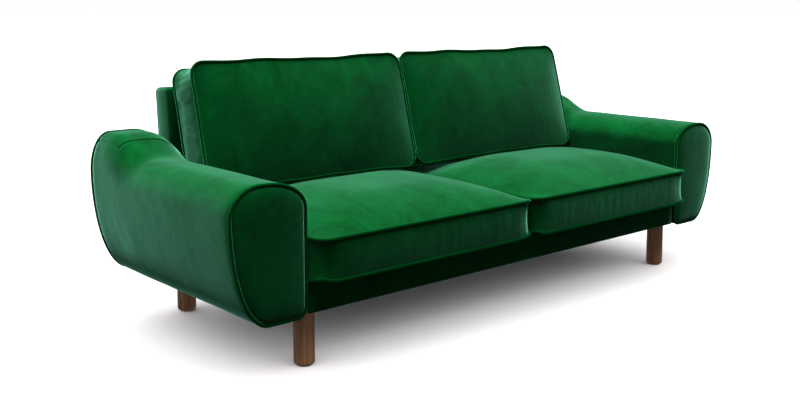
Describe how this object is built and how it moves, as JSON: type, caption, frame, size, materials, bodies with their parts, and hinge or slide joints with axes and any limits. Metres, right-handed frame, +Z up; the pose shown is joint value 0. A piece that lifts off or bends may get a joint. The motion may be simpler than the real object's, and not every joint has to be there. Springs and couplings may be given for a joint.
{
  "type": "sofa",
  "caption": "Two-seat sofa with loose seat and back cushions, rounded padded arms with raised shoulders, piped seams and four round wooden legs.",
  "frame": {"origin": "on the floor, at the middle of the sofa's box", "axes": "+X along the width towards the sofa's right as seen from the front, +Y from front to rear, +Z up"},
  "size_m": [2.2, 0.913, 0.8247],
  "materials": {
    "velvet": "short-pile velvet",
    "piping": "velvet-covered cord",
    "walnut": "satin oiled",
    "felt": "pressed felt",
    "steel": "zinc plated",
    "plywood": "raw",
    "hardwood": "raw",
    "foam": "polyurethane foam",
    "filling": "fibre and foam filling",
    "webbing": "woven elastic",
    "dust_cloth": "non-woven",
    "deck_cloth": "padded platform cloth"
  },
  "bodies": {
    "frame": {"arm_bolts": "steel", "back_centre_post": "hardwood", "back_cover": "velvet", "back_left_post": "hardwood", "back_lower_rail": "hardwood", "back_outer_panel": "velvet", "back_right_post": "hardwood", "back_top_rail": "hardwood", "back_webbing": "webbing", "centre_rail": "hardwood", "corner_blocks": "hardwood", "dust_cover": "dust_cloth", "front_left_leg": "walnut", "front_rail": "hardwood", "front_rail_cover": "velvet", "front_right_leg": "walnut", "left_arm_bent_plywood": "plywood", "left_arm_cover": "velvet", "left_arm_foam": "foam", "left_arm_front_former": "plywood", "left_arm_front_panel": "velvet", "left_arm_inner_board": "plywood", "left_arm_piping": "piping", "left_arm_rear_former": "plywood", "left_arm_rear_panel": "velvet", "left_end_rail": "hardwood", "leg_glides": "felt", "leg_hanger_bolts": "steel", "leg_plate_screws": "steel", "leg_plates": "steel", "rear_left_leg": "walnut", "rear_rail": "hardwood", "rear_right_leg": "walnut", "right_arm_bent_plywood": "plywood", "right_arm_cover": "velvet", "right_arm_foam": "foam", "right_arm_front_former": "plywood", "right_arm_front_panel": "velvet", "right_arm_inner_board": "plywood", "right_arm_piping": "piping", "right_arm_rear_former": "plywood", "right_arm_rear_panel": "velvet", "right_end_rail": "hardwood", "seat_deck": "deck_cloth", "seat_springs": "steel", "spring_clips": "steel"},
    "seat_cushion_left": {"seat_cushion_left_cover": "velvet", "seat_cushion_left_foam": "foam", "seat_cushion_left_piping": "piping"},
    "seat_cushion_right": {"seat_cushion_right_cover": "velvet", "seat_cushion_right_foam": "foam", "seat_cushion_right_piping": "piping"},
    "back_cushion_left": {"back_cushion_left_cover": "velvet", "back_cushion_left_filling": "filling", "back_cushion_left_piping": "piping"},
    "back_cushion_right": {"back_cushion_right_cover": "velvet", "back_cushion_right_filling": "filling", "back_cushion_right_piping": "piping"}
  },
  "joints": [
    {"name": "seat_cushion_left_slide", "type": "slide", "parent": "frame", "child": "seat_cushion_left", "axis": [0, -1, 0], "range_m": [0, 0.35]},
    {"name": "seat_cushion_right_slide", "type": "slide", "parent": "frame", "child": "seat_cushion_right", "axis": [0, -1, 0], "range_m": [0, 0.35]},
    {"name": "back_cushion_left_lift", "type": "slide", "parent": "frame", "child": "back_cushion_left", "axis": [0, 0, 1], "range_m": [0, 0.4]},
    {"name": "back_cushion_right_lift", "type": "slide", "parent": "frame", "child": "back_cushion_right", "axis": [0, 0, 1], "range_m": [0, 0.4]}
  ]
}
